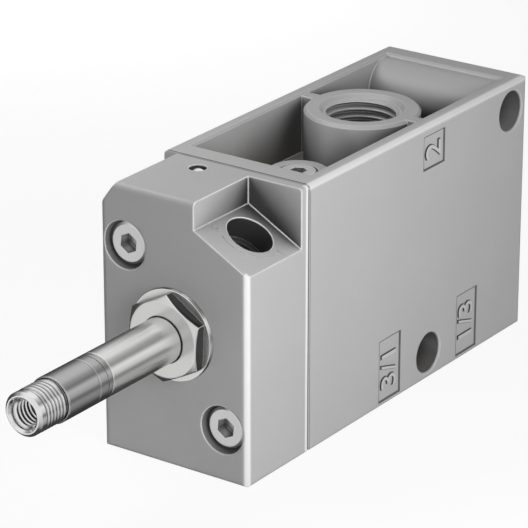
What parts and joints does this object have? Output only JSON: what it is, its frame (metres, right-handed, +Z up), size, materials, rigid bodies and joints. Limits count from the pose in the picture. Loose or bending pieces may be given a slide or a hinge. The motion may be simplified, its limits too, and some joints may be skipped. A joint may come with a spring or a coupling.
{
  "type": "pneumatic solenoid valve",
  "caption": "Three-port poppet valve with a die-cast body, pilot cover, manual override and an armature tube, shown without its coil.",
  "frame": {"origin": "on the flat underside, midway between the two lower ports, in the plane that halves the width", "axes": "+X along the valve axis away from the armature tube, towards the closed rear; +Y towards the far side, away from the override notch; +Z up through the upper port"},
  "size_m": [0.1206, 0.0288, 0.046],
  "materials": {
    "body_alloy": "matt grey die-cast surface",
    "cover_alloy": "matt grey die-cast surface",
    "screw_steel": "zinc-plated",
    "ball_steel": "polished ball",
    "tube_steel": "turned stainless steel",
    "core_steel": "turned magnetic stainless steel",
    "spring_steel": "drawn wire",
    "piston_alloy": "turned",
    "brass": "turned",
    "sintered_bronze": "sintered, matt",
    "copper": "soft copper",
    "seal_rubber": "black rubber",
    "override_black": "dark matt"
  },
  "bodies": {
    "valve": {"valve_body": "body_alloy", "pilot_cover": "cover_alloy", "cover_gasket": "seal_rubber", "cover_screws": "screw_steel", "channel_balls": "ball_steel", "pocket_plug": "screw_steel", "plug_washer": "copper", "filter_disc": "sintered_bronze", "base_disc": "tube_steel", "hex_gland": "tube_steel", "gland_oring": "seal_rubber", "armature_tube": "tube_steel", "tube_band": "core_steel", "core_stop": "core_steel", "shading_ring": "copper", "armature_spring": "spring_steel", "pilot_nozzle": "brass", "guide_bush": "brass", "guide_oring": "seal_rubber", "stem_seal": "seal_rubber", "bush_circlip": "spring_steel", "exhaust_cage": "brass", "exhaust_seat": "brass", "exhaust_seat_oring": "seal_rubber", "supply_cage": "brass", "supply_seat": "brass", "supply_seat_oring": "seal_rubber", "return_spring": "spring_steel", "override_clip": "override_black", "override_spring": "spring_steel"},
    "armature": {"armature": "core_steel", "front_seal_pad": "seal_rubber", "pilot_seal_pad": "seal_rubber"},
    "spool": {"pilot_piston": "piston_alloy", "piston_seal": "seal_rubber", "valve_stem": "tube_steel", "exhaust_poppet": "seal_rubber", "stem_sleeve": "brass", "supply_poppet": "seal_rubber", "stem_circlip": "spring_steel"},
    "override_slide": {"override_washer": "spring_steel"},
    "override_pin": {"override_pin": "override_black", "override_oring": "seal_rubber"}
  },
  "joints": [
    {"name": "armature_slide", "type": "slide", "parent": "valve", "child": "armature", "axis": [-1, 0, 0], "range_m": [0, 0.0011], "stiffness_N_per_m": 300, "springref_m": -0.002, "deforming": ["armature_spring"]},
    {"name": "spool_slide", "type": "slide", "parent": "valve", "child": "spool", "axis": [1, 0, 0], "range_m": [0, 0.003], "stiffness_N_per_m": 800, "springref_m": -0.005, "deforming": ["return_spring"]},
    {"name": "override_push", "type": "slide", "parent": "valve", "child": "override_slide", "axis": [0, 0.4772, -0.8788], "range_m": [0, 0.0014], "stiffness_N_per_m": 200, "springref_m": -0.003, "deforming": ["override_spring"]},
    {"name": "override_turn", "type": "hinge", "parent": "override_slide", "child": "override_pin", "pos_m": [-0.0439, 0, 0.023], "axis": [0, -0.4772, 0.8788], "range_deg": [0, 90]}
  ]
}
